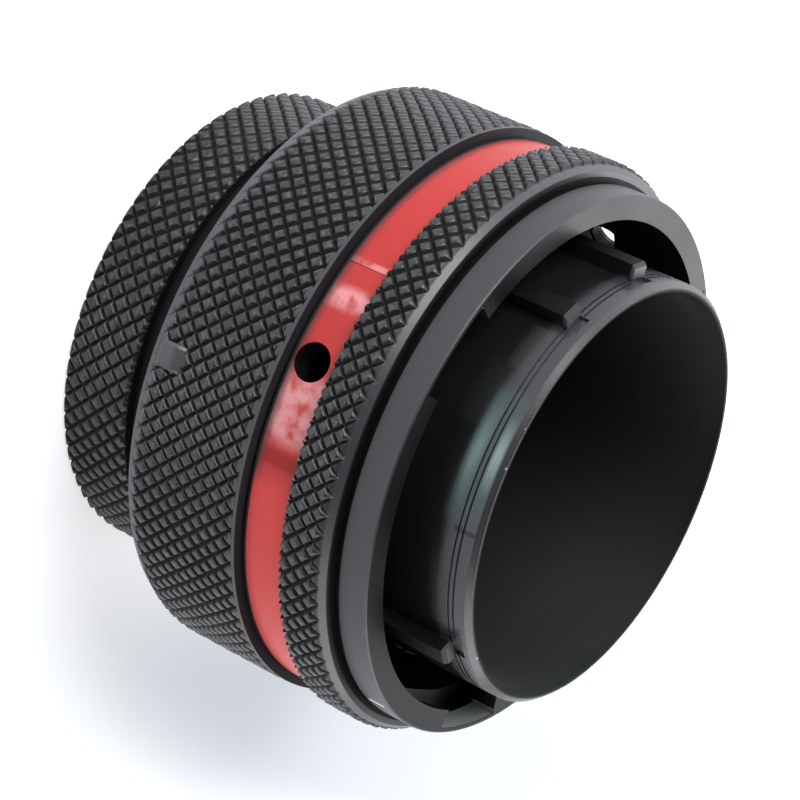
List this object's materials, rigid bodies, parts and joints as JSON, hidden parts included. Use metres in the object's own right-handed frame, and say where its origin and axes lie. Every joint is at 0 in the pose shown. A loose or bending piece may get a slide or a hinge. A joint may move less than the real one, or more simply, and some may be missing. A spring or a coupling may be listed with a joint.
{
  "type": "circular plug connector",
  "caption": "Round keyed plug connector with a knurled, spring-loaded bayonet coupling ring, a red colour band and sight holes, and recessed pin contacts.",
  "frame": {"origin": "centre of the rear face, which it stands on", "axes": "+Z along the plug's axis, towards the mating mouth; the sight hole that the picture shows is on the -Y side"},
  "size_m": [0.0428, 0.0428, 0.0341],
  "materials": {
    "black_anodised_shell": "black anodised, satin",
    "black_anodised_ring": "black anodised, satin",
    "red_band": "glossy red",
    "washer_steel": "plain",
    "spring_steel": "plain",
    "ring_steel": "dark oxide",
    "gasket_rubber": "matt",
    "seal_rubber": "matt dark green",
    "insulator_plastic": "matt",
    "wafer_plastic": "matt",
    "grommet_rubber": "matt dark green",
    "follower_metal": "black anodised",
    "insert_ring_steel": "dark oxide",
    "contact_gold": "gold plated",
    "clip_copper": "plain"
  },
  "bodies": {
    "shell": {"plug_shell": "black_anodised_shell", "retaining_ring": "ring_steel", "wave_spring": "spring_steel", "nose_gasket": "gasket_rubber", "interfacial_seal": "seal_rubber", "front_insulator": "insulator_plastic", "rear_insulator": "wafer_plastic", "rear_grommet": "grommet_rubber", "grommet_follower": "follower_metal", "insert_retaining_ring": "insert_ring_steel", "pin_contacts": "contact_gold", "contact_clips": "clip_copper"},
    "washer": {"thrust_washer": "washer_steel"},
    "ring": {"coupling_ring": "black_anodised_ring", "colour_band": "red_band"}
  },
  "joints": [
    {"name": "ring_travel", "type": "slide", "parent": "shell", "child": "washer", "axis": [0, 0, 1], "range_m": [0, 0.0008], "stiffness_N_per_m": 8000, "springref_m": -0.0005, "deforming": ["wave_spring"]},
    {"name": "ring_turn", "type": "hinge", "parent": "washer", "child": "ring", "pos_m": [0, 0, 0.0091], "axis": [0, 0, 1], "continuous": true}
  ]
}
